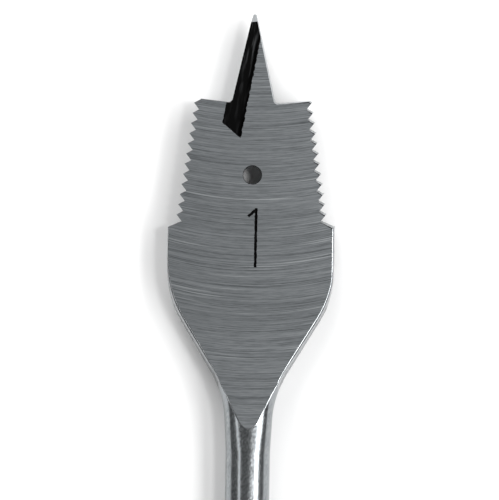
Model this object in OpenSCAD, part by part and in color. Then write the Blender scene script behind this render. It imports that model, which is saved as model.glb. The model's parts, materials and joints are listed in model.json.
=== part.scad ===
// Spade drill bit: one steel forging with a flat ground blade, a tapered thread filed along both
// flanks of the blade and a hex drive end. The point is at +Y, the width along X, and the bit lies
// on z = 0 with the flat of its blade level.

/* [Overall] */
// Length from the point to the end of the shank
overall_l = 158.75; // [120:0.25:400]
// Width across the two cutting corners, the size that is stamped on the face
bore_d = 25.4; // [20:0.1:38]
// Thickness between the two ground faces
blade_t = 3.175; // [2.4:0.025:4]
// Diameter of the round shank
shank_d = 6.72; // [6:0.02:8]

/* [Point] */
// Length of the centre point, down to the lips
point_l = 13.45; // [9:0.05:18]
// Width of the centre point at its root
point_w = 6.7; // [5.5:0.05:8]
// Width of the blunt end of the centre point
point_tip_w = 0.72; // [0.5:0.02:1]
// Angle of the two bevels that bring the point to a chisel edge, from the face
point_bevel = 42; // [35:1:55]
// Radius in the corners between the point and the lips
point_root_r = 0.7; // [0.4:0.05:1.2]

/* [Cutting edges] */
// Angle by which each lip climbs outward to its corner
lip_rise = 6; // [2:0.5:9]
// Clearance angle behind the lips
lip_relief = 5; // [4:0.5:9]
// Clearance angle behind the side edges
side_relief = 4; // [3:0.5:7]

/* [Tapered thread] */
// Distance between crests along the bit
thread_pitch = 1.543; // [1.3:0.005:1.8]
// Number of teeth along each flank
thread_teeth = 12; // [8:1:14]
// Depth of the V groove between two teeth
thread_depth = 0.9; // [0.6:0.02:1.1]
// Where the root of a groove lies between two crests, as a share of the pitch
thread_root = 0.57; // [0.4:0.01:0.6]
// How far the far face's thread runs ahead, as a share of the pitch
thread_lead = 0.3; // [0:0.05:0.5]
// Angle of each threaded flank to the bit's axis
thread_taper = 8; // [6:0.25:10]
// Distance from the root of the point to the first crest
thread_start = 0.14; // [0.1:0.01:0.6]
// How far the last crest lies inside the full width
thread_inset = 1.3; // [1:0.05:2]
// Angle of the shoulder behind the thread, from square
shoulder_slope = 22.5; // [15:0.5:30]

/* [Heel and neck] */
// Length of the full-width heel between the shoulder and the flare
heel_l = 10.52; // [7:0.1:16]
// Back taper of the heel's sides
heel_taper = 0; // [0:0.1:2]
// Radius of the heel's rear corners
heel_corner_r = 17; // [10:0.5:28]
// Angle of the flare to the bit's axis
flare_angle = 31; // [24:0.1:36]
// Draft angle of the forged sides along the flare
forging_draft = 15.5; // [8:0.5:20]
// Radius of the hollow where the flare runs into the neck
neck_r = 14; // [8:0.5:20]
// Length of the coned neck between the flare and the round shank
neck_l = 8.84; // [7:0.1:14]
// Angle of the coned neck
neck_cone = 3; // [2:0.25:5]

/* [Ground faces] */
// How far the ground face runs past the start of the neck
face_over = 5.14; // [4:0.1:6]
// Radius of the wheel that leaves the run-out at the end of the face
face_wheel_r = 80; // [40:1:120]

/* [Gullets] */
// Width of the gullet beside the point
gullet_w = 3.1; // [2.4:0.05:4]
// Angle of the gullet to the bit's axis
gullet_angle = 10.6; // [7:0.1:14]
// Distance of the gullet's inner wall from the axis, level with the lips
gullet_offset = 1; // [0.6:0.05:1.4]
// How far the gullet's inner wall runs below the lips
gullet_l = 5.4; // [4:0.1:7]
// Angle of the gullet's end wall, from square
gullet_end = 40.5; // [30:0.5:50]
// Depth of the gullet at its outer wall
gullet_depth = 0.3; // [0.2:0.02:0.5]
// Hook angle of the gullet's floor
gullet_hook = 8; // [4:0.5:11]

/* [Hole and size mark] */
// Diameter of the hole through the blade
hole_d = 2.8; // [2:0.05:4]
// Distance of the hole below the lips
hole_from_lips = 10.95; // [9:0.05:14]
// Height of the stamped numeral
mark_h = 9; // [6:0.1:10]
// Width of the numeral's strokes
mark_w = 0.42; // [0.3:0.01:0.6]
// Depth of the stamped strokes
mark_depth = 0.2; // [0.1:0.01:0.3]
// Gap between the hole and the numeral
mark_gap = 3.6; // [2:0.1:6]
// Distance of the numeral's stem from the axis
mark_offset = 0.65; // [0:0.05:2]
// Length of the numeral's flag
mark_flag_l = 1.75; // [1:0.05:2.4]

/* [Drive end] */
// Hex size across its flats
hex_af = 6.35; // [5.5:0.01:7]
// Length of the hex
hex_l = 28; // [18:0.5:40]
// Length of the bevels on the two ends of the hex
hex_bevel = 0.8; // [0.4:0.05:1.5]

/* [Hidden] */
$fn = 96;
arc_steps = 10;
beyond = 6;
flare_clearance = 0.12;
bore_r = bore_d / 2;
shank_r = shank_d / 2;
half_t = blade_t / 2;
tip_y = overall_l / 2;
end_y = -overall_l / 2;
hex_y = end_y + hex_l;
hex_ac = hex_af / cos(30);

// Distances v are measured back from the tip
thread_step = thread_pitch / cos(thread_taper);
first_crest_v = point_l + thread_start;
last_crest_r = bore_r - thread_inset;
first_crest_r = last_crest_r - (thread_teeth - 1) * thread_pitch * tan(thread_taper);
last_root = thread_point(thread_teeth - 1 + thread_root, -thread_depth);
shoulder_v = last_root[1] + (bore_r - last_root[0]) * tan(shoulder_slope);
flare_v = shoulder_v + heel_l;
neck_start_r = shank_r + neck_l * tan(neck_cone);
neck_v = flare_v + (bore_r - neck_start_r) / tan(flare_angle);
shank_v = neck_v + neck_l;
face_v = neck_v + face_over;
face_end_r = shank_r + max(0, shank_v - face_v) * tan(neck_cone);
face_lift = face_end_r - half_t;
run_out_l = sqrt(face_lift * (2 * face_wheel_r - face_lift));
lips_y = tip_y - point_l;
hole_y = lips_y - hole_from_lips;
mark_y = hole_y - hole_d / 2 - mark_gap;

// The round bar is spread a degree wider than the flare, and the drafted sides trim it
spread_angle = flare_angle + 1;

function unit(d) = d / norm(d);

// Round of radius r in the corner c, from the side that leaves along d1 to the side along d2
function round_corner(c, d1, d2, r) =
    let (
        a = unit(d1),
        b = unit(d2),
        half = acos(a * b) / 2,
        middle = unit(a + b),
        centre = c + middle * r / sin(half),
        mid_angle = atan2(-middle[1], -middle[0]),
        way = sign(a[1] * b[0] - a[0] * b[1])
    )
    [for (i = [0:arc_steps])
        let (t = mid_angle + way * (90 - half) * (2 * i / arc_steps - 1))
        centre + r * [cos(t), sin(t)]];

// Radius and distance from the tip of a point on the threaded flank, k crests along it
// and n outside the line of the crests
function thread_point(k, n) = [
    first_crest_r + k * thread_step * sin(thread_taper) + n * cos(thread_taper),
    first_crest_v + k * thread_step * cos(thread_taper) - n * sin(thread_taper)
];

// An outline point as it is drawn on the leaning plane of an edge cut, so that it falls on
// radius r and distance v where the cut meets the leading face
function leaned(p) =
    let (x = -p[0] * cos(side_relief), y = tip_y - p[1])
    [x, (y - lips_y + x * tan(side_relief) * tan(lip_relief)) * cos(lip_relief)];

// The same piece seen on the other face of the blade
module turned_over() {
    rotate([0, 180, 0])
        children();
}

// Round body of the forging: bell, flare, neck and shank
module forged_bar() {
    bell_r = bore_r + 1;
    neck = [neck_start_r, tip_y - neck_v];
    bell = [bell_r, neck[1] + (bell_r - neck_start_r) / tan(spread_angle)];
    rotate([-90, 0, 0])
        rotate_extrude()
            polygon(concat(
                [[0, tip_y + 1], [bell_r, tip_y + 1], bell],
                round_corner(neck, bell - neck, [-tan(neck_cone), -1], neck_r),
                [[shank_r, tip_y - shank_v], [shank_r, hex_y], [0, hex_y]]
            ));
}

// Hex drive end, bevelled at both ends, with two flats level with the blade
module hex_end() {
    rotate([-90, 0, 0])
        intersection() {
            translate([0, 0, end_y])
                cylinder(d = hex_ac, h = hex_l + hex_bevel, $fn = 6);
            rotate_extrude()
                polygon([
                    [0, end_y],
                    [hex_ac / 2 - hex_bevel, end_y],
                    [hex_ac / 2 + 0.1, end_y + hex_bevel + 0.1],
                    [hex_ac / 2 + 0.1, hex_y - 0.1],
                    [hex_ac / 2 - hex_bevel, hex_y + hex_bevel],
                    [0, hex_y + hex_bevel]
                ]);
        }
}

// What the grinding wheel takes off above one face, with its run-out into the neck
module face_cut() {
    span = 2 * bore_d;
    wheel_y = tip_y - face_v + run_out_l;
    rotate([90, 0, 90])
        linear_extrude(height = span, center = true)
            union() {
                translate([wheel_y, half_t])
                    square([face_v + beyond, bore_r + beyond]);
                translate([wheel_y, half_t + face_wheel_r])
                    circle(r = face_wheel_r);
            }
}

// What the forging die leaves off above the parting line on one side of the flare, from the
// rounded corner of the heel to the hollow of the neck
module draft_cut() {
    flare_l = (bore_r - neck_start_r) / sin(flare_angle);
    run_in = neck_r * tan((flare_angle - neck_cone) / 2);
    leave_r = neck_r / 2;
    corner = [0, half_t * tan(forging_draft) / tan(flare_angle)];
    translate([bore_r, tip_y - flare_v, 0])
        rotate([0, 0, -flare_angle])
            rotate([0, -forging_draft, 0])
                translate([0, 0, -half_t])
                    linear_extrude(height = bore_r + beyond)
                        polygon(concat(
                            [[bore_r, heel_l]],
                            round_corner(corner, [-sin(flare_angle), cos(flare_angle)], [0, -1], heel_corner_r),
                            [for (i = [0:arc_steps])
                                let (t = 60 * i / arc_steps)
                                [leave_r * (1 - cos(t)), run_in - flare_l - leave_r * sin(t)]],
                            [[bore_r, run_in - flare_l - leave_r * sin(60)]]
                        ));
}

// Leaning prism that clears one side of the blade, from its leading face down
module lean() {
    translate([0, lips_y, half_t])
        rotate([-lip_relief, -side_relief, 0])
            linear_extrude(height = 4 * blade_t, center = true)
                children();
}

// Clears one side of the centre point and the lip beside it
module point_cut() {
    root = [point_w / 2, point_l];
    up = [point_tip_w / 2, 0] - root;
    out = [cos(lip_rise), -sin(lip_rise)];
    lean()
        polygon([for (p = concat(
            [root + up * 1.2],
            round_corner(root, up, out, point_root_r),
            [root + out * (bore_r + beyond), root + up * 1.2 + [bore_r + beyond, 0]]
        )) leaned(p)]);
}

// Clears one flank: thread, shoulder, heel and the rounded start of the flare, with the thread
// moved on by a share of its pitch
module flank_cut(lead) {
    root = thread_point(thread_teeth - 1 + thread_root - lead, -thread_depth);
    shoulder = [bore_r, root[1] + (bore_r - root[0]) * tan(shoulder_slope)];
    clear = half_t * tan(side_relief) + flare_clearance / cos(flare_angle);
    corner_v = flare_v + clear / tan(flare_angle);
    corner = [bore_r - (corner_v - shoulder[1]) * tan(heel_taper), corner_v];
    back = [-sin(flare_angle), cos(flare_angle)];
    start = thread_point(thread_root - 1 - lead, -thread_depth);
    above = start[1] - 2 * thread_pitch;
    end = corner + back * heel_l;
    lean()
        polygon([for (p = concat(
            [[bore_r + beyond, above], [start[0], above], start],
            [for (k = [0:thread_teeth - 1])
                each [thread_point(k - lead, 0), thread_point(k + thread_root - lead, -thread_depth)]],
            [shoulder],
            round_corner(corner, [tan(heel_taper), -1], back, heel_corner_r),
            [end, [bore_r + beyond, end[1]]]
        )) leaned(p)]);
}

// Brings one face of the point down to its chisel edge
module bevel_cut() {
    translate([0, tip_y, 0])
        rotate([-point_bevel, 0, 0])
            translate([-point_w, -point_w, 0])
                cube([2 * point_w, 2 * point_w, point_w]);
}

// Gullet beside the point, with a hooked floor that falls toward its inner wall
module gullet_cut() {
    inner_l = gullet_l / cos(gullet_angle);
    end_drop = gullet_w * tan(gullet_end - gullet_angle);
    translate([-gullet_offset, lips_y, half_t - gullet_depth])
        rotate([0, 0, -gullet_angle])
            translate([-gullet_w, 0, 0])
                rotate([0, gullet_hook, 0])
                    linear_extrude(height = 2 * blade_t)
                        polygon([
                            [0, point_l + beyond],
                            [0, end_drop - inner_l],
                            [gullet_w / cos(gullet_hook), -inner_l],
                            [gullet_w / cos(gullet_hook), point_l + beyond]
                        ]);
}

module wire_hole() {
    translate([0, hole_y, 0])
        cylinder(d = hole_d, h = 2 * blade_t, center = true);
}

// Stamped numeral one: a stem and a flag
module size_mark() {
    translate([mark_offset, mark_y, half_t - mark_depth]) {
        translate([-mark_w / 2, -mark_h, 0])
            cube([mark_w, mark_h, blade_t]);
        rotate([0, 0, 40])
            translate([-mark_flag_l, -mark_w, 0])
                cube([mark_flag_l, mark_w, blade_t]);
    }
}

module forging() {
    union() {
        forged_bar();
        hex_end();
    }
}

// The forging with its drafted sides and both faces ground
module ground_blank() {
    difference() {
        forging();
        face_cut();
        turned_over() face_cut();
        draft_cut();
        turned_over() draft_cut();
        mirror([0, 0, 1]) draft_cut();
        mirror([1, 0, 0]) draft_cut();
    }
}

module spade_bit() {
    color("#8b8f93")
        translate([0, 0, face_end_r])
            difference() {
                ground_blank();
                point_cut();
                turned_over() point_cut();
                flank_cut(0);
                turned_over() flank_cut(thread_lead);
                gullet_cut();
                turned_over() gullet_cut();
                bevel_cut();
                turned_over() bevel_cut();
                wire_hole();
                size_mark();
            }
}

spade_bit();
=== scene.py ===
"""Spade drill bit: edges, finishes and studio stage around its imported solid."""

import json
import math

import bmesh
import bpy
from bpy.props import FloatProperty, FloatVectorProperty, PointerProperty
from mathutils import Matrix, Vector, kdtree, noise


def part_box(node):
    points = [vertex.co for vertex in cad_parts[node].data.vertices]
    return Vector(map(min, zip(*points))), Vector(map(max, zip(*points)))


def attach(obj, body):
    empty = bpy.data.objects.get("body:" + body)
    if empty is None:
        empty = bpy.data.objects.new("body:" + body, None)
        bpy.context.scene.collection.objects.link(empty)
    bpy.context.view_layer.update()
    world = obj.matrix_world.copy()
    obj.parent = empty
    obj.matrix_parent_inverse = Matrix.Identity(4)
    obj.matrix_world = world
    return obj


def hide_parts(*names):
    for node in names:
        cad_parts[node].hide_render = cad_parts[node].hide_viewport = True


bl_info = {
    "name": "Spade Drill Bit",
    "version": (1, 0, 0),
    "blender": (4, 5, 0),
    "location": "View3D > Sidebar > Spade Bit",
    "description": "Finishes the steel of a spade drill bit and lays it on a studio table",
    "category": "Object",
}

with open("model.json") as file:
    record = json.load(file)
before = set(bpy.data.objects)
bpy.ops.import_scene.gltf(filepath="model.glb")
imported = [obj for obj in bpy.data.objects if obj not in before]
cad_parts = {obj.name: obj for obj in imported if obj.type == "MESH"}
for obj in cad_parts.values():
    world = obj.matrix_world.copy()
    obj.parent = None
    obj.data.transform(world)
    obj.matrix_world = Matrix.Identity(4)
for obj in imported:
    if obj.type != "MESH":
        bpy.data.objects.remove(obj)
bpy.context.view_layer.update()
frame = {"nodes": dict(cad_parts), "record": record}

MM = 0.001
SOLID = "spade_bit"
HOLE = {m["name"]: m for m in frame["record"]["mounts"]}["wire_hole"]

# Places on the bit, in metres: the point is at +Y and the marked face looks up.
TIP_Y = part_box(SOLID)[1].y
HOLE_AT = Vector(HOLE["pos_m"])
HOLE_R = HOLE["dims"]["r_mm"] * MM
AXIS_Z = HOLE_AT.z
HALF_T = HOLE["dims"]["length_mm"] / 2 * MM
LIPS_Y = TIP_Y - 13.45 * MM
SHOULDER_Y = TIP_Y - 32.425 * MM
FLARE_Y = TIP_Y - 42.945 * MM
HEX_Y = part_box(SOLID)[0].y + 28.9 * MM

# The thread lies farther out than this.
THREAD_X = 7.5 * MM

# The turned profile of the neck: a round shank, a slim cone, a hollow and the wide flare.
SHANK_R = 3.36 * MM
SHANK_Y = TIP_Y - 66.558 * MM
NECK_Y = TIP_Y - 57.718 * MM
NECK_CONE = math.radians(3)
NECK_R = SHANK_R + (NECK_Y - SHANK_Y) * math.tan(NECK_CONE)
FLARE_CONE = math.radians(32)
HOLLOW_R = 14 * MM

# The top of the neck is hammered flatter from here to NECK_Y: fully as far as NECK_TOP from its
# middle and not at all beyond NECK_SIDE, both as shares of its radius.
HAMMER_Y = SHANK_Y - 3.5 * MM
NECK_FLATTER = 1.0
NECK_TOP = 0.5
NECK_SIDE = 0.95

# The wheel's run-out, where the ground face climbs into the neck.
WHEEL_R = 80 * MM
WHEEL_Y = TIP_Y - 45.2297 * MM
FACE_END_Y = TIP_Y - 62.858 * MM

# The gullet beside the point, as it lies on the marked face.
GULLET_FROM = Vector((-1 * MM, LIPS_Y))
GULLET_ANGLE = math.radians(10.6)
GULLET_W = 3.1 * MM
GULLET_L = 5.5 * MM
GULLET_SLACK = 0.12 * MM
GULLET_DEEPEST = 1 * MM

# Only the long side of a gullet is longer than this.
GULLET_SIDE = 10 * MM

# The scale is rubbed from the lips to here, more and more toward the point.
RUBBED_Y = TIP_Y - 5 * MM

# Only a lip's own edge is longer than this.
LIP_EDGE = 1 * MM

# The stamped numeral on the marked face: left, right, lower and upper limit.
MARK = (-1 * MM, 1 * MM, 40.8 * MM, 50.2 * MM)
MARK_DEEPEST = 0.25 * MM

# How a face of the solid is told from its neighbours: by parts of its unit normal, and by how
# closely it keeps to the surface that it belongs to.
LEVEL_TILT = 0.02
LEVEL_UP = 0.94
UPRIGHT = 0.1
TOWARD_POINT = 0.9
LEADING = 0.3
FACE_SLACK = 0.06 * MM
HOLE_SLACK = 0.02 * MM
NECK_SLACK = 0.08 * MM
NECK_SLACK_ALIKE = 0.3 * MM
NECK_LIKENESS = math.cos(math.radians(8))
HEX_SLACK = 0.1 * MM
HEEL_SLACK = 0.05 * MM
SHOULDER_SLACK = 0.3 * MM
SHOULDER_DEPTH = 1 * MM

# Where along the bit the worn edge changes its width, where the forged sides ease into the neck
# below that edge, and where the neck's polish passes into their shine.
FLARE_EASE = 3 * MM
NECK_EDGE = (NECK_Y + 7 * MM, NECK_Y + 2 * MM)
NECK_SIDES = (NECK_Y + 5 * MM, NECK_Y + 0.5 * MM)
EDGE_DEPTH = 0.3 * MM
POLISH_END = (NECK_Y - 3 * MM, NECK_Y + 0.5 * MM)

# Points and faces of the solid that count as one.
SAME_POINT = 0.001 * MM
SAME_PLANE = math.radians(0.2)

# Faces that meet at less than this angle are shaded as one round.
SMOOTH_BELOW = math.radians(32)

# The frayed rims waver over steps of this length.
BITE = 0.2 * MM

# Where the lights point, and how the camera hangs over the blade.
LIGHT_AIM = Vector((0, 45 * MM, AXIS_Z))
VIEW_AT = (-0.254 * MM, 43.605 * MM)
VIEW_TURN = math.radians(0.97)
VIEW_SPAN = 75.76 * MM
VIEW_FAR = 0.9
SENSOR = 36
TABLE_SIZE = 4

# The finishes, in the order of the bit's material slots.
GROUND, FILED, BURRED, BLACK, POLISHED, FORGED, BORED = range(7)


def linear(code):
    """Turn an sRGB hex code into the linear colour that a shader takes."""
    parts = [int(code[i : i + 2], 16) / 255 for i in (1, 3, 5)]
    return tuple(p / 12.92 if p <= 0.04045 else ((p + 0.055) / 1.055) ** 2.4 for p in parts)


def put(tree, kind, inputs=None, **settings):
    """Add a node, set its fields, and give its inputs a value or another node's output."""
    made = tree.nodes.new(kind)
    for field, value in settings.items():
        setattr(made, field, value)
    for socket, value in (inputs or {}).items():
        if isinstance(value, bpy.types.NodeSocket):
            tree.links.new(value, made.inputs[socket])
        else:
            made.inputs[socket].default_value = value
    return made.outputs[0] if made.outputs else made


def blank_material(name):
    """Make an empty node material and return it with its node tree."""
    made = bpy.data.materials.new(name)
    made.use_nodes = True
    made.node_tree.nodes.clear()
    return made, made.node_tree


def close_material(tree, sockets):
    """End a material in one Principled shader with the given sockets."""
    shader = put(tree, "ShaderNodeBsdfPrincipled", sockets)
    put(tree, "ShaderNodeOutputMaterial", {"Surface": shader})


def stretched(tree, place, lengths):
    """Noise whose grains have the given lengths, in metres, along the three axes of a place."""
    at = put(tree, "ShaderNodeVectorMath", {0: place, 1: lengths}, operation="DIVIDE")
    settings = {"Vector": at, "Scale": 1, "Detail": 2, "Roughness": 0.6}
    return put(tree, "ShaderNodeTexNoise", settings)


def ground_steel(look):
    """Steel ground flat on a cup wheel: long shallow arcs of light and dark lines across it."""
    made, tree = blank_material("ground_steel")
    place = put(tree, "ShaderNodeTexCoord").node.outputs["Object"]
    xyz = put(tree, "ShaderNodeSeparateXYZ", {"Vector": place}).node.outputs
    square = put(tree, "ShaderNodeMath", {0: xyz["X"], 1: xyz["X"]}, operation="MULTIPLY")
    across = put(
        tree,
        "ShaderNodeMath",
        {0: square, 1: -0.5 / look.wheel_arc, 2: xyz["Y"]},
        operation="MULTIPLY_ADD",
    )
    arcs = put(tree, "ShaderNodeCombineXYZ", {"X": xyz["X"], "Y": across, "Z": xyz["Z"]})
    # The wheel's own lines are about 0.03 mm wide and are drawn coarser, so that they still show.
    line = look.line_width
    # One line is as long as the blade is wide, and single grits leave short strokes in it.
    fine = stretched(tree, arcs, (22 * MM, line, 22 * MM))
    grits = stretched(tree, arcs, (1.8 * MM, line, 9 * MM))
    # Broad bands come from the wheel's feed, and a few deep scratches stand alone.
    bands = stretched(tree, arcs, (50 * MM, 9 * line, 50 * MM))
    scratches = stretched(tree, arcs, (24 * MM, 2 * line, 7 * MM))
    lines = put(tree, "ShaderNodeMath", {0: fine, 1: 0.5}, operation="SUBTRACT")
    for part, weight in ((grits, 0.6), (bands, 0.3)):
        around = put(tree, "ShaderNodeMath", {0: part, 1: 0.5}, operation="SUBTRACT")
        lines = put(
            tree,
            "ShaderNodeMath",
            {0: around, 1: weight, 2: lines},
            operation="MULTIPLY_ADD",
        )
    share = put(tree, "ShaderNodeMapRange", {"Value": lines, "From Min": -0.3, "From Max": 0.3})
    colour = put(
        tree,
        "ShaderNodeMix",
        {"Factor": share, "A": (*look.ground_dark, 1), "B": (*look.ground_light, 1)},
        data_type="RGBA",
    ).node.outputs["Result"]
    for tone, low, high in ((look.scratch_light, 0.63, 0.72), (look.scratch_dark, 0.37, 0.28)):
        mark = put(
            tree,
            "ShaderNodeMapRange",
            {"Value": scratches, "From Min": low, "From Max": high, "To Max": 0.5},
        )
        colour = put(
            tree,
            "ShaderNodeMix",
            {"Factor": mark, "A": colour, "B": (*tone, 1)},
            data_type="RGBA",
        ).node.outputs["Result"]
    rough = put(tree, "ShaderNodeMapRange", {"Value": share, "To Min": 0.4, "To Max": 0.32})
    bump = put(tree, "ShaderNodeBump", {"Height": lines, "Strength": 0.3, "Distance": 0.01 * MM})
    close_material(tree, {"Base Color": colour, "Metallic": 1, "Roughness": rough, "Normal": bump})
    return made


def filed_steel(look):
    """Steel of the whetted point and lips: light grey and even, with fine marks down the edge."""
    made, tree = blank_material("filed_steel")
    place = put(tree, "ShaderNodeTexCoord").node.outputs["Object"]
    # Marks of a fine file are about 0.1 mm wide and are drawn 0.3 mm wide, so that they show.
    marks = stretched(tree, place, (0.3 * MM, 0.3 * MM, 1.5 * MM))
    colour = put(
        tree,
        "ShaderNodeMix",
        {"Factor": marks, "A": (*look.filed_dark, 1), "B": (*look.filed_light, 1)},
        data_type="RGBA",
    ).node.outputs["Result"]
    rough = put(tree, "ShaderNodeMapRange", {"Value": marks, "To Min": 0.36, "To Max": 0.48})
    bump = put(tree, "ShaderNodeBump", {"Height": marks, "Strength": 0.2, "Distance": 0.01 * MM})
    close_material(tree, {"Base Color": colour, "Metallic": 1, "Roughness": rough, "Normal": bump})
    return made


def burred_steel(look):
    """Steel of the thread's flanks: rough from the cutter, grey with darker tears down it."""
    made, tree = blank_material("burred_steel")
    place = put(tree, "ShaderNodeTexCoord").node.outputs["Object"]
    tears = stretched(tree, place, (0.35 * MM, 0.35 * MM, 1.5 * MM))
    share = put(tree, "ShaderNodeMapRange", {"Value": tears, "From Min": 0.3, "From Max": 0.6})
    colour = put(
        tree,
        "ShaderNodeMix",
        {"Factor": share, "A": (*look.burred_dark, 1), "B": (*look.burred_light, 1)},
        data_type="RGBA",
    ).node.outputs["Result"]
    rough = put(tree, "ShaderNodeMapRange", {"Value": tears, "To Min": 0.48, "To Max": 0.32})
    bump = put(tree, "ShaderNodeBump", {"Height": tears, "Strength": 0.3, "Distance": 0.03 * MM})
    close_material(tree, {"Base Color": colour, "Metallic": 1, "Roughness": rough, "Normal": bump})
    return made


def black_scale_and_shade(look):
    """Black oxide scale left in the gullets and the stamped mark, and on the burrs a black that is
    painted shade of the undercut beneath them: matt and nearly black, rubbed to dark grey streaks
    beside the point."""
    made, tree = blank_material("black_scale_and_shade")
    place = put(tree, "ShaderNodeTexCoord").node.outputs["Object"]
    # Rubbed streaks run along the gullet, about 0.4 mm wide and ten times as long.
    along_gullet = put(
        tree,
        "ShaderNodeVectorRotate",
        {"Vector": place, "Angle": GULLET_ANGLE},
        rotation_type="Z_AXIS",
    )
    streaks = stretched(tree, along_gullet, (0.4 * MM, 4 * MM, 0.4 * MM))
    along = put(tree, "ShaderNodeSeparateXYZ", {"Vector": place}).node.outputs["Y"]
    near = put(
        tree,
        "ShaderNodeMapRange",
        {"Value": along, "From Min": LIPS_Y, "From Max": RUBBED_Y, "To Min": 0.15},
    )
    share = put(tree, "ShaderNodeMapRange", {"Value": streaks, "From Min": 0.5, "From Max": 0.75})
    rubbed = put(tree, "ShaderNodeMath", {0: share, 1: near}, operation="MULTIPLY")
    colour = put(
        tree,
        "ShaderNodeMix",
        {"Factor": rubbed, "A": (*look.scale_and_shade_dark, 1), "B": (*look.scale_rubbed, 1)},
        data_type="RGBA",
    ).node.outputs["Result"]
    rough = put(tree, "ShaderNodeMapRange", {"Value": streaks, "To Min": 0.55, "To Max": 0.8})
    bump = put(tree, "ShaderNodeBump", {"Height": streaks, "Strength": 0.3, "Distance": 0.03 * MM})
    close_material(
        tree,
        {"Base Color": colour, "Roughness": rough, "Specular IOR Level": 0.03, "Normal": bump},
    )
    return made


def polished_steel(look):
    """Round steel polished on a belt: soft-edged reflections, mottled by fine lines that wind round
    it. Toward the blade it passes into the even shine of the forged sides."""
    made, tree = blank_material("polished_steel")
    place = put(tree, "ShaderNodeTexCoord").node.outputs["Object"]
    xyz = put(tree, "ShaderNodeSeparateXYZ", {"Vector": place}).node.outputs
    above = put(tree, "ShaderNodeMath", {0: xyz["Z"], 1: AXIS_Z}, operation="SUBTRACT")
    turn = put(tree, "ShaderNodeMath", {0: xyz["X"], 1: above}, operation="ARCTAN2")
    rolled = put(tree, "ShaderNodeMath", {0: turn, 1: SHANK_R}, operation="MULTIPLY")
    flat = put(tree, "ShaderNodeCombineXYZ", {"X": rolled, "Y": xyz["Y"]})
    wound = put(
        tree,
        "ShaderNodeVectorRotate",
        {"Vector": flat, "Angle": -look.belt_angle},
        rotation_type="Z_AXIS",
    )
    # The belt's own lines are about 0.03 mm wide and are drawn 0.16 mm wide, so that they show.
    belt = stretched(tree, wound, (1.8 * MM, 0.16 * MM, 1))
    mottle = stretched(tree, place, (0.25 * MM, 0.4 * MM, 0.25 * MM))
    peel = put(tree, "ShaderNodeMath", {0: belt, 1: mottle}, operation="ADD")
    share = put(tree, "ShaderNodeMapRange", {"Value": peel, "From Min": 0.75, "From Max": 1.25})
    colour = put(
        tree,
        "ShaderNodeMix",
        {"Factor": share, "A": (*look.polished_dark, 1), "B": (*look.polished_light, 1)},
        data_type="RGBA",
    ).node.outputs["Result"]
    blade = put(
        tree,
        "ShaderNodeMapRange",
        {"Value": xyz["Y"], "From Min": POLISH_END[0], "From Max": POLISH_END[1]},
    )
    colour = put(
        tree,
        "ShaderNodeMix",
        {"Factor": blade, "A": colour, "B": (*look.forged_dark, 1)},
        data_type="RGBA",
    ).node.outputs["Result"]
    matt = put(tree, "ShaderNodeMapRange", {"Value": share, "To Min": 0.17, "To Max": 0.27})
    rough = put(tree, "ShaderNodeMix", {"Factor": blade, "A": matt, "B": 0.19})
    bump = put(tree, "ShaderNodeBump", {"Height": peel, "Strength": 0.1, "Distance": 0.01 * MM})
    close_material(tree, {"Base Color": colour, "Metallic": 1, "Roughness": rough, "Normal": bump})
    return made


def forged_steel(look):
    """Forged sides of heel and flare, trimmed and buffed: bright and slightly wavy."""
    made, tree = blank_material("forged_steel")
    place = put(tree, "ShaderNodeTexCoord").node.outputs["Object"]
    waves = stretched(tree, place, (1.1 * MM, 1.1 * MM, 1.1 * MM))
    colour = put(
        tree,
        "ShaderNodeMix",
        {"Factor": waves, "A": (*look.forged_dark, 1), "B": (*look.forged_light, 1)},
        data_type="RGBA",
    ).node.outputs["Result"]
    rough = put(tree, "ShaderNodeMapRange", {"Value": waves, "To Min": 0.14, "To Max": 0.24})
    bump = put(tree, "ShaderNodeBump", {"Height": waves, "Strength": 0.12, "Distance": 0.01 * MM})
    close_material(tree, {"Base Color": colour, "Metallic": 1, "Roughness": rough, "Normal": bump})
    return made


def bored_steel_shaded(look):
    """Wall of the drilled hole: steel with fine rings from the drill, coloured near black as
    painted shade, so that the hole looks dark inside.
    """
    made, tree = blank_material("bored_steel_shaded")
    place = put(tree, "ShaderNodeTexCoord").node.outputs["Object"]
    # A drill feeds about 0.16 mm in a turn, which is the height of one ring.
    rings = stretched(tree, place, (3 * MM, 3 * MM, 0.16 * MM))
    colour = put(
        tree,
        "ShaderNodeMix",
        {"Factor": rings, "A": (*look.bored_shade_dark, 1), "B": (*look.bored_shade_light, 1)},
        data_type="RGBA",
    ).node.outputs["Result"]
    rough = put(tree, "ShaderNodeMapRange", {"Value": rings, "To Min": 0.3, "To Max": 0.45})
    bump = put(tree, "ShaderNodeBump", {"Height": rings, "Strength": 0.2, "Distance": 0.01 * MM})
    close_material(tree, {"Base Color": colour, "Metallic": 1, "Roughness": rough, "Normal": bump})
    return made


def table_laminate(look):
    """Pale matt laminate of the table: white and even, so that only the soft shadows show on it."""
    made, tree = blank_material("table_laminate")
    place = put(tree, "ShaderNodeTexCoord").node.outputs["Object"]
    grain = stretched(tree, place, (1.1 * MM, 1.1 * MM, 1.1 * MM))
    rough = put(tree, "ShaderNodeMapRange", {"Value": grain, "To Min": 0.75, "To Max": 0.85})
    close_material(
        tree,
        {"Base Color": (*look.table, 1), "Roughness": rough, "Specular IOR Level": 0.2},
    )
    return made


def turned_up(place, normal):
    """The same spot as it lies on the upper side, half a turn about the axis from the lower one."""
    if place.z >= AXIS_Z:
        return place, normal
    return (
        Vector((-place.x, place.y, 2 * AXIS_Z - place.z)),
        Vector((-normal.x, normal.y, -normal.z)),
    )


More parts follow.
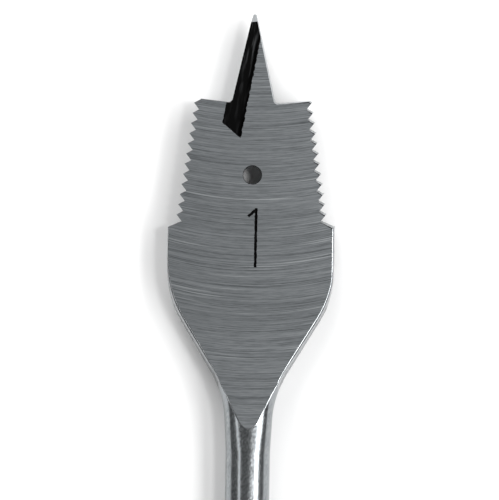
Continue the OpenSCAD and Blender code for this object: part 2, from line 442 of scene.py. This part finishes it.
def in_gullet(place):
    """Whether a spot of the upper side lies inside the gullet's outline."""
    away = Vector((place.x, place.y)) - GULLET_FROM
    side = away.x * math.cos(GULLET_ANGLE) - away.y * math.sin(GULLET_ANGLE)
    along = away.x * math.sin(GULLET_ANGLE) + away.y * math.cos(GULLET_ANGLE)
    beside = -GULLET_W - GULLET_SLACK < side < GULLET_SLACK
    return beside and along > -GULLET_L - GULLET_SLACK


def neck_radius(y):
    """Radius of the turned neck and shank at a place along the axis."""
    bend = (FLARE_CONE - NECK_CONE) / 2
    reach = HOLLOW_R * math.tan(bend)
    low_y = NECK_Y - reach * math.cos(NECK_CONE)
    high_y = NECK_Y + reach * math.cos(FLARE_CONE)
    if y <= SHANK_Y:
        return SHANK_R
    if y <= low_y:
        return SHANK_R + (y - SHANK_Y) * math.tan(NECK_CONE)
    if y >= high_y:
        return NECK_R + (y - NECK_Y) * math.tan(FLARE_CONE)
    centre_y = low_y - HOLLOW_R * math.sin(NECK_CONE)
    centre_r = NECK_R - reach * math.sin(NECK_CONE) + HOLLOW_R * math.cos(NECK_CONE)
    return centre_r - math.sqrt(HOLLOW_R**2 - (y - centre_y) ** 2)


def face_rise(y):
    """How far the ground face stands above its flat at a place along the axis."""
    run = min(max(0, WHEEL_Y - y), WHEEL_R)
    return WHEEL_R - math.sqrt(WHEEL_R**2 - run**2)


def slope_of(curve, y):
    """Slope of a curve along the axis, taken over a short step."""
    step = 0.01 * MM
    return (curve(y + step) - curve(y - step)) / (2 * step)


def neck_normal(place):
    """Normal of the turned surface of neck and shank at a place on it."""
    radius = math.hypot(place.x, place.z - AXIS_Z)
    lengthwise = -slope_of(neck_radius, place.y) * radius
    return Vector((place.x, lengthwise, place.z - AXIS_Z)).normalized()


def blend(low, high, at):
    """Ease from 0 at one place to 1 at another."""
    share = min(1, max(0, (at - low) / (high - low)))
    return share * share * (3 - 2 * share)


def flatness(across, y):
    """How many times flatter than round the neck is, at a share of its radius from the middle."""
    along = blend(HAMMER_Y, NECK_Y, y)
    return 1 + NECK_FLATTER * along * blend(NECK_SIDE, NECK_TOP, across)


def neck_height(x, y):
    """Height of the neck's upper side above the axis, summed up from its round flanks inward. The
    lower side stays round, so that the bit rests where its solid does."""
    radius = neck_radius(y)
    across = min(1, abs(x) / radius)
    if across >= NECK_SIDE:
        return radius * math.sqrt(1 - across * across)
    steps = 24
    width = (NECK_SIDE - across) / steps
    height = math.sqrt(1 - NECK_SIDE * NECK_SIDE)
    for step in range(steps):
        at = NECK_SIDE - (step + 0.5) * width
        height += width * at / math.sqrt(1 - at * at) / flatness(at, y)
    return radius * height


def face_edge(y):
    """How far from the middle the ground face ends on the neck."""
    flat = HALF_T + face_rise(y)
    return math.sqrt(max(0, neck_radius(y) ** 2 - flat**2))


def face_height(y):
    """Height of the upper ground face above the axis, down to its run-out in the hammered neck."""
    return neck_height(face_edge(y), y)


def hammered_normal(place):
    """Normal of the neck at a place on it. Lengthwise it keeps the slope of the round neck, because
    the hammered top only dips by a few degrees."""
    normal = neck_normal(place)
    if place.z < AXIS_Z:
        return normal
    flatter = flatness(abs(place.x) / neck_radius(place.y), place.y)
    return Vector((normal.x, normal.y, normal.z * flatter)).normalized()


def on_neck(place, normal):
    """Whether a face lies on the turned surface of the neck or the round shank."""
    off = abs(math.hypot(place.x, place.z - AXIS_Z) - neck_radius(place.y))
    alike = normal.dot(neck_normal(place)) > NECK_LIKENESS
    return place.y > HEX_Y and (off < NECK_SLACK or off < NECK_SLACK_ALIKE and alike)


def on_face(place, normal):
    """Whether a face lies on the upper ground face or its run-out."""
    level = abs(normal.x) < LEVEL_TILT and normal.z > LEVEL_UP and normal.y > -LEVEL_TILT
    off = abs(place.z - AXIS_Z - HALF_T - face_rise(place.y))
    return level and place.y > FACE_END_Y and off < FACE_SLACK


def in_mark(place):
    """Whether a spot of the upper side lies in the stamped numeral."""
    left, right, lower, upper = MARK
    return left < place.x < right and lower < place.y < upper


def behind_lip(place, normal):
    """Whether a face is the flat behind a lip, which looks along the bit toward its point."""
    return place.y > LIPS_Y and normal.y > TOWARD_POINT


def finish_of(spot, facing):
    """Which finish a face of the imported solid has, from its middle and its normal."""
    place, normal = turned_up(spot, facing)
    depth = AXIS_Z + HALF_T - place.z
    from_hole = (Vector((place.x, place.y)) - HOLE_AT.xy).length
    if on_face(place, normal):
        return GROUND
    if from_hole < HOLE_R + HOLE_SLACK and abs(normal.z) < UPRIGHT:
        return BORED
    if place.y < FACE_END_Y or on_neck(place, normal):
        return POLISHED
    if spot.z > AXIS_Z and 0 < depth < MARK_DEEPEST and in_mark(place):
        return BLACK
    if 0 < depth < GULLET_DEEPEST and in_gullet(place):
        return BLACK
    if place.y < SHOULDER_Y - SHOULDER_SLACK:
        return FORGED
    return BURRED if abs(place.x) > THREAD_X and not behind_lip(place, normal) else FILED


def edit(context, piece, mode):
    """Open one piece in edit mode with nothing selected, and return its mesh."""
    bpy.ops.object.select_all(action="DESELECT")
    piece.select_set(True)
    context.view_layer.objects.active = piece
    bpy.ops.object.mode_set(mode="EDIT")
    bpy.ops.mesh.select_mode(type=mode)
    bpy.ops.mesh.select_all(action="DESELECT")
    return bmesh.from_edit_mesh(piece.data)


def copy_of_solid(context, name):
    """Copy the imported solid, join its loose triangles and melt the flat ones together."""
    piece = bpy.data.objects.new(name, frame["nodes"][SOLID].data.copy())
    context.scene.collection.objects.link(piece)
    edit(context, piece, "VERT")
    bpy.ops.mesh.customdata_custom_splitnormals_clear()
    bpy.ops.mesh.select_all(action="SELECT")
    bpy.ops.mesh.remove_doubles(threshold=SAME_POINT)
    bpy.ops.mesh.dissolve_limited(angle_limit=SAME_PLANE)
    bpy.ops.object.mode_set(mode="OBJECT")
    return piece


def spread_finishes(piece, look):
    """Give each face the finish of its surface."""
    piece.data.materials.clear()
    for maker in (
        ground_steel,
        filed_steel,
        burred_steel,
        black_scale_and_shade,
        polished_steel,
        forged_steel,
        bored_steel_shaded,
    ):
        piece.data.materials.append(maker(look))
    for face in piece.data.polygons:
        face.material_index = finish_of(face.center, face.normal)


def refine_neck(context, piece):
    """Divide the faces of the neck and the round shank, and lay them on the true surface."""
    mesh = edit(context, piece, "FACE")
    for face in mesh.faces:
        if face.material_index == POLISHED and face.calc_center_median().y > HEX_Y:
            face.select_set(True)
    bmesh.update_edit_mesh(piece.data)
    bpy.ops.mesh.quads_convert_to_tris(quad_method="BEAUTY", ngon_method="BEAUTY")
    bpy.ops.mesh.subdivide(number_cuts=3)
    mesh = bmesh.from_edit_mesh(piece.data)
    for vert in mesh.verts:
        kinds = {f.material_index for f in vert.link_faces}
        x, y, z = vert.co
        radius = neck_radius(y)
        if y < HEX_Y + HEX_SLACK:
            continue
        if kinds == {POLISHED, GROUND}:
            x = math.copysign(face_edge(y), x)
        elif kinds == {POLISHED}:
            x *= radius / math.hypot(x, z - AXIS_Z)
        else:
            continue
        if z > AXIS_Z:
            vert.co = (x, y, AXIS_Z + neck_height(x, y))
        else:
            vert.co = (x, y, AXIS_Z - math.sqrt(max(0, radius**2 - x**2)))
    mesh.normal_update()
    bmesh.update_edit_mesh(piece.data)
    bpy.ops.object.mode_set(mode="OBJECT")


def side_round(y, look):
    """How far the edge of the ground face is rounded at a place along the axis."""
    flare = blend(FLARE_Y + FLARE_EASE, FLARE_Y - FLARE_EASE, y)
    neck = blend(*NECK_EDGE, y)
    width = look.heel_round + (look.forged_round - look.heel_round) * flare
    return width + (look.neck_round - width) * neck


def into_face(edge, face):
    """The direction from an edge into one of its faces, square to the edge."""
    along = (edge.verts[1].co - edge.verts[0].co).normalized()
    way = face.normal.cross(along)
    loop = next(x for x in face.loops if x.edge == edge)
    return way if loop.vert == edge.verts[0] else -way


def bow(start, bend, end, share):
    """A point of the curve that leaves its start toward a bend and comes to its end from there."""
    return (1 - share) ** 2 * start + 2 * share * (1 - share) * bend + share**2 * end


def edge_profile(width):
    """Rows of a worn edge, as distances into the face and down the wall: a small round, a narrow
    flat and a smaller round. They are worked out for a width of 1."""
    first, last = Vector((1.5, 0)), Vector((0, 1.2))
    inner, outer = Vector((1, 0)), Vector((0, 0.95))
    slope = (outer - inner).normalized()
    flat_from, flat_to = inner + 0.5 * slope, outer - 0.25 * slope
    rows = [bow(first, inner, flat_from, share) for share in (0, 1 / 3, 2 / 3, 1)]
    rows += [bow(flat_to, outer, last, share) for share in (0, 0.5, 1)]
    return [width * row for row in rows]


def is_worn(edge):
    """Whether an edge is a worn one: those of the ground faces along heel, flare and neck, without
    the shoulder, which runs across the bit."""
    kinds = sorted(f.material_index for f in edge.link_faces)
    if kinds[0] != GROUND or kinds[1] not in (FILED, BURRED, POLISHED, FORGED):
        return False
    start, end = (vert.co for vert in edge.verts)
    below_shoulder = SHOULDER_Y - ((start + end) / 2).y
    across = abs(end.x - start.x) > abs(end.y - start.y)
    on_shoulder = below_shoulder < SHOULDER_DEPTH and across
    return below_shoulder >= HEEL_SLACK and not on_shoulder


def worn_corners(mesh):
    """Select the worn edges, and list where they end, with the ways into the face and down the
    wall there."""
    corners = {}
    for edge in mesh.edges:
        if not is_worn(edge):
            continue
        edge.select_set(True)
        flat, wall = sorted(edge.link_faces, key=lambda f: f.material_index)
        for vert in edge.verts:
            _, inward, down = corners.setdefault(vert.index, (vert.co.copy(), [], []))
            inward.append(into_face(edge, flat))
            down.append(into_face(edge, wall))
    return [
        (place, sum(inward, Vector()).normalized(), sum(down, Vector()).normalized())
        for place, inward, down in corners.values()
    ]


def share_down(away, inner, lower):
    """How far a point has gone round an edge, from 0 in the face to 1 on the wall."""
    skew = inner.dot(lower)
    clear = 1 - skew * skew
    into = max(0, (away.dot(inner) - skew * away.dot(lower)) / clear)
    below = max(0, (away.dot(lower) - skew * away.dot(inner)) / clear)
    return below / (into + below) if into + below > 0 else 0.5


def round_sides(context, piece, look):
    """Break the long edges of the two ground faces along heel, flare and neck: a hair-thin bevel
    gives the rows of faces, and each row is then drawn out to the edge's profile at its place."""
    mesh = edit(context, piece, "EDGE")
    corners = worn_corners(mesh)
    bmesh.update_edit_mesh(piece.data)
    hair = 0.004 * MM
    steps = 6
    bpy.ops.mesh.bevel(
        offset=hair,
        segments=steps,
        affect="EDGES",
        clamp_overlap=False,
        material=FORGED,
    )
    turns = [math.radians(90 * step / steps) for step in range(steps + 1)]
    shares = [(1 - math.cos(t)) / (2 - math.sin(t) - math.cos(t)) for t in turns]
    tree = kdtree.KDTree(len(corners))
    for index, corner in enumerate(corners):
        tree.insert(corner[0], index)
    tree.balance()
    mesh = bmesh.from_edit_mesh(piece.data)
    for vert in mesh.verts:
        if not vert.select:
            continue
        corner, inner, lower = corners[tree.find(vert.co)[1]]
        share = share_down(vert.co - corner, inner, lower)
        row = min(range(steps + 1), key=lambda step: abs(shares[step] - share))
        into, below = edge_profile(side_round(corner.y, look))[row]
        vert.co = corner + into * inner + below * lower
    mesh.normal_update()
    bmesh.update_edit_mesh(piece.data)
    bpy.ops.object.mode_set(mode="OBJECT")


def round_rims(context, piece, look):
    """Break the rims of the hole on both faces."""
    mesh = edit(context, piece, "EDGE")
    for edge in mesh.edges:
        edge.select_set(sorted(f.material_index for f in edge.link_faces) == [GROUND, BORED])
    bmesh.update_edit_mesh(piece.data)
    bpy.ops.mesh.bevel(offset=look.rim_round, segments=3, affect="EDGES", material=BORED)
    bpy.ops.object.mode_set(mode="OBJECT")


def has_burr(edge):
    """Whether the cutter came out at an edge of a ground face: the leading edges of the teeth on
    one side, and the edge of the lip there."""
    flat, wall = sorted(edge.link_faces, key=lambda f: f.material_index)
    place, normal = turned_up((edge.verts[0].co + edge.verts[1].co) / 2, wall.normal)
    if flat.material_index != GROUND or place.x < 0:
        return False
    if wall.material_index == BURRED:
        return normal.y > LEADING
    is_lip = behind_lip(place, normal) and edge.calc_length() > LIP_EDGE
    return wall.material_index == FILED and is_lip


def leave_burrs_with_shade(context, piece, look):
    """Bevel a thin burr wherever the cutter came out of the steel, and colour it black as painted
    shade of the undercut beneath it.
    """
    mesh = edit(context, piece, "EDGE")
    for edge in mesh.edges:
        edge.select_set(has_burr(edge))
    bmesh.update_edit_mesh(piece.data)
    # The burr's black finish is painted shade, not the steel's own colour.
    bpy.ops.mesh.bevel(offset=look.burr, segments=1, affect="EDGES", material=BLACK)
    bpy.ops.object.mode_set(mode="OBJECT")


def fray_scale(context, piece, look):
    """Let the rims of the gullets and of the stamped mark waver, as they do where scale breaks off.
    The long side of a gullet wavers twice as far as the short rims."""
    mesh = edit(context, piece, "EDGE")
    rims = []
    for edge in mesh.edges:
        flat, wall = sorted(edge.link_faces, key=lambda f: f.material_index)
        if (flat.material_index, wall.material_index) == (GROUND, BLACK) and not on_thread(edge):
            rims.append((edge, wall, edge.calc_length(), into_face(edge, flat)))
    walls = []
    for edge, wall, length, inward in rims:
        if length < 2 * BITE:
            continue
        depth = look.fray if length > GULLET_SIDE else look.fray / 2
        made = bmesh.ops.bisect_edges(mesh, edges=[edge], cuts=int(length / BITE))
        for vert in made["geom_split"]:
            if isinstance(vert, bmesh.types.BMVert):
                vert.co += depth * noise.noise(vert.co / (2 * BITE)) * inward
        walls.append(wall)
    # A middle point in each wall keeps its triangles off the face that it meets.
    bmesh.ops.poke(mesh, faces=list(dict.fromkeys(walls)), center_mode="BOUNDS")
    mesh.normal_update()
    bmesh.update_edit_mesh(piece.data)
    bpy.ops.object.mode_set(mode="OBJECT")


def on_thread(edge):
    """Whether an edge belongs to the thread on a flank of the blade."""
    return abs(edge.verts[0].co.x) > THREAD_X


def ground_normal(place):
    """Normal of a ground face at a place on it."""
    up = math.copysign(1, place.z - AXIS_Z)
    climb = slope_of(face_height if up > 0 else face_rise, place.y)
    return Vector((0, -climb, up)).normalized()


def forged_normal(place, normal):
    """Normal of a forged side, eased into the neck's below the worn edge of the face."""
    if face_height(place.y) - abs(place.z - AXIS_Z) < EDGE_DEPTH:
        return normal
    return normal.lerp(hammered_normal(place), blend(*NECK_SIDES, place.y)).normalized()


def even_normals(piece):
    """Shade worn edges smoothly, ground faces as true flats and the neck as one true surface."""
    bpy.ops.object.shade_smooth_by_angle(angle=SMOOTH_BELOW)
    weighted = piece.modifiers.new("flat_faces", "WEIGHTED_NORMAL")
    weighted.keep_sharp = True
    bpy.ops.object.modifier_apply(modifier=weighted.name)
    mesh = piece.data
    normals = [Vector(n.vector) for n in mesh.corner_normals]
    for face in mesh.polygons:
        kind = face.material_index
        for corner in face.loop_indices:
            place = mesh.vertices[mesh.loops[corner].vertex_index].co
            if kind == GROUND:
                normals[corner] = ground_normal(place)
            elif kind == FORGED:
                normals[corner] = forged_normal(place, normals[corner])
            elif kind == POLISHED and face.center.y > HEX_Y:
                normals[corner] = hammered_normal(place)
    mesh.normals_split_custom_set(normals)


def tone(name, description, code):
    """A colour for the panel, from its sRGB hex code."""
    return FloatVectorProperty(
        name=name,
        description=description,
        subtype="COLOR",
        default=linear(code),
        min=0,
        max=1,
    )


class BitLook(bpy.types.PropertyGroup):
    """Sizes and colours of the steel."""

    rim_round: FloatProperty(
        name="Rim round",
        description="Round on the rims of the hole",
        default=0.07 * MM,
        unit="LENGTH",
    )
    heel_round: FloatProperty(
        name="Heel round",
        description="Width of the worn edge on the sides of the heel",
        default=0.14 * MM,
        unit="LENGTH",
    )
    forged_round: FloatProperty(
        name="Forged round",
        description="Width of the worn edge between the ground face and the forged sides",
        default=0.2 * MM,
        unit="LENGTH",
    )
    neck_round: FloatProperty(
        name="Neck round",
        description="Width of the worn edge where the ground face runs out into the neck",
        default=0.06 * MM,
        unit="LENGTH",
    )
    # The burr is a real bevel; its black is painted shade of the undercut beneath it.
    burr: FloatProperty(
        name="Burr",
        description="Width of the dark burr on the leading edges of the thread and of a lip",
        default=0.14 * MM,
        unit="LENGTH",
    )
    fray: FloatProperty(
        name="Fray",
        description="How far the rims of the black gullets and of the mark waver",
        default=0.18 * MM,
        unit="LENGTH",
    )
    wheel_arc: FloatProperty(
        name="Grinding arc",
        description="Radius of the arcs that the wheel leaves on the face",
        default=50 * MM,
        unit="LENGTH",
    )
    line_width: FloatProperty(
        name="Grinding line",
        description="Width of one line of the grinding pattern",
        default=0.12 * MM,
        unit="LENGTH",
    )
    belt_angle: FloatProperty(
        name="Belt angle",
        description="Angle of the polishing lines to a ring round the shank",
        default=math.radians(41),
        subtype="ANGLE",
    )
    ground_dark: tone("Ground steel, dark", "Dark lines of the ground faces", "#4e5254")
    ground_light: tone("Ground steel, light", "Light lines of the ground faces", "#a1a5a8")
    scratch_dark: tone("Dark scratch", "Single dark scratches in the ground faces", "#303335")
    scratch_light: tone("Light scratch", "Single light scratches in the ground faces", "#cfd3d5")
    filed_dark: tone("Filed steel, dark", "Darker marks on the point and the lips", "#9fa3a6")
    filed_light: tone("Filed steel, light", "Lighter marks on the point and the lips", "#c4c7c9")
    burred_dark: tone("Thread flank, dark", "Tears in the flanks of the thread", "#56595b")
    burred_light: tone("Thread flank, light", "Clean steel on the flanks of the thread", "#aeb2b4")
    # On the burrs this near black is painted shade; in the gullets and the mark it is scale.
    scale_and_shade_dark: tone("Black scale", "Scale in the gullets, the mark and the burrs", "#030303")
    scale_rubbed: tone("Rubbed scale", "Streaks where the scale is rubbed thin", "#3a3b3c")
    polished_dark: tone("Polished steel, dark", "Darker lines of neck and shank", "#7a7e81")
    polished_light: tone("Polished steel, light", "Lighter lines of neck and shank", "#a9adaf")
    forged_dark: tone("Forged sides, dark", "Darker waves on the forged sides", "#9a9ea1")
    forged_light: tone("Forged sides, light", "Lighter waves on the forged sides", "#b9bcbe")
    # The hole's tones are near black as painted shade inside the hole.
    bored_shade_dark: tone("Hole, dark", "Darker rings in the wall of the hole", "#1c1d1f")
    bored_shade_light: tone("Hole, light", "Lighter rings in the wall of the hole", "#3a3c3e")


class StageLook(bpy.types.PropertyGroup):
    """Table and light."""

    table: tone("Table", "Colour of the table", "#eeeeee")
    key_power: FloatProperty(
        name="Key light",
        description="Power of the long light box on the right",
        default=5.4,
        unit="POWER",
    )
    rim_power: FloatProperty(
        name="Strip light",
        description="Power of the narrow light strip on the left",
        default=0.9,
        unit="POWER",
    )
    front_power: FloatProperty(
        name="Front fill",
        description="Power of the large soft light on the shank's side",
        default=0.3,
        unit="POWER",
    )
    back_power: FloatProperty(
        name="Back fill",
        description="Power of the soft light that hangs near the point",
        default=0.62,
        unit="POWER",
    )
    top_power: FloatProperty(
        name="Top light",
        description="Power of the small soft box above the blade",
        default=1.4,
        unit="POWER",
    )
    room: FloatProperty(
        name="Room",
        description="Brightness of the room around the table",
        default=0.18,
        subtype="FACTOR",
    )


class SPADEBIT_OT_dress_steel(bpy.types.Operator):
    """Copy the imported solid, round its edges and give each surface its finish"""

    bl_idname = "spade_bit.dress_steel"
    bl_label = "Dress the steel"

    def execute(self, context):
        look = context.scene.spade_bit_look
        bit = copy_of_solid(context, "bit_steel")
        spread_finishes(bit, look)
        refine_neck(context, bit)
        round_sides(context, bit, look)
        round_rims(context, bit, look)
        leave_burrs_with_shade(context, bit, look)
        fray_scale(context, bit, look)
        even_normals(bit)
        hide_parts(SOLID)
        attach(bit, "root")
        return {"FINISHED"}


def light_box(name, lean, reach, size, power):
    """Hang a soft light over the blade. It leans from straight above to the right and toward the
    point by two angles in degrees, and its reach, width and length are in metres."""
    away = Vector((*(math.tan(math.radians(angle)) for angle in lean), 1)).normalized()
    up = (Vector((0, 1, 0)) - away.y * away).normalized()
    turn = Matrix((up.cross(away), up, away)).transposed().to_euler()
    bpy.ops.object.light_add(type="AREA", location=LIGHT_AIM + reach * away, rotation=turn)
    lamp = bpy.context.active_object
    lamp.name = name
    lamp.data.shape = "RECTANGLE"
    lamp.data.size, lamp.data.size_y = size
    lamp.data.energy = power
    lamp.visible_camera = False


class SPADEBIT_OT_set_stage(bpy.types.Operator):
    """Lay the table, hang the lights and set the camera over the blade"""

    bl_idname = "spade_bit.set_stage"
    bl_label = "Set the stage"

    def execute(self, context):
        look = context.scene.spade_stage_look
        bpy.ops.object.select_all(action="DESELECT")
        bpy.ops.mesh.primitive_plane_add(size=TABLE_SIZE, location=(0, 0, 0))
        table = context.active_object
        table.name = "table"
        table.data.materials.append(table_laminate(look))

        light_box("key_box", (43, 0), 0.62, (0.21, 1.4), look.key_power)
        light_box("left_strip", (-40, 0), 0.62, (0.085, 1.4), look.rim_power)
        light_box("front_fill", (-30, -52), 0.75, (0.6, 0.5), look.front_power)
        light_box("back_fill", (-30, 52), 0.3, (0.24, 0.2), look.back_power)
        light_box("top_box", (22, 4), 0.8, (0.12, 0.12), look.top_power)
        room = bpy.data.worlds.new("room")
        room.use_nodes = True
        background = room.node_tree.nodes["Background"].inputs
        background["Color"].default_value = (1, 1, 1, 1)
        background["Strength"].default_value = look.room
        context.scene.world = room

        bpy.ops.object.camera_add(
            location=(*VIEW_AT, AXIS_Z + HALF_T + VIEW_FAR),
            rotation=(0, 0, VIEW_TURN),
        )
        camera = context.active_object
        camera.data.sensor_width = SENSOR
        camera.data.lens = SENSOR * VIEW_FAR / VIEW_SPAN
        camera.data.clip_start = 0.01
        camera.data.clip_end = 20
        context.scene.camera = camera
        context.scene.view_settings.view_transform = "Standard"
        context.scene.view_settings.look = "None"
        return {"FINISHED"}


class SPADEBIT_PT_steps(bpy.types.Panel):
    """The steps that finish the bit"""

    bl_idname = "SPADEBIT_PT_steps"
    bl_label = "Spade Bit"
    bl_space_type = "VIEW_3D"
    bl_region_type = "UI"
    bl_category = "Spade Bit"

    def draw(self, context):
        for look, step in (
            (context.scene.spade_bit_look, SPADEBIT_OT_dress_steel),
            (context.scene.spade_stage_look, SPADEBIT_OT_set_stage),
        ):
            for field in look.bl_rna.properties:
                if not field.is_readonly and field.identifier != "name":
                    self.layout.prop(look, field.identifier)
            self.layout.operator(step.bl_idname)


CLASSES = (BitLook, StageLook, SPADEBIT_OT_dress_steel, SPADEBIT_OT_set_stage, SPADEBIT_PT_steps)


def register():
    """Make the sizes, colours, steps and panel known to Blender."""
    for made in CLASSES:
        bpy.utils.register_class(made)
    bpy.types.Scene.spade_bit_look = PointerProperty(type=BitLook)
    bpy.types.Scene.spade_stage_look = PointerProperty(type=StageLook)


def unregister():
    """Take back what register made known."""
    del bpy.types.Scene.spade_stage_look
    del bpy.types.Scene.spade_bit_look
    for made in reversed(CLASSES):
        bpy.utils.unregister_class(made)


def main():
    """Build the dressed bit and its stage."""
    register()
    bpy.ops.spade_bit.dress_steel()
    bpy.ops.spade_bit.set_stage()


if __name__ == "__main__":
    main()
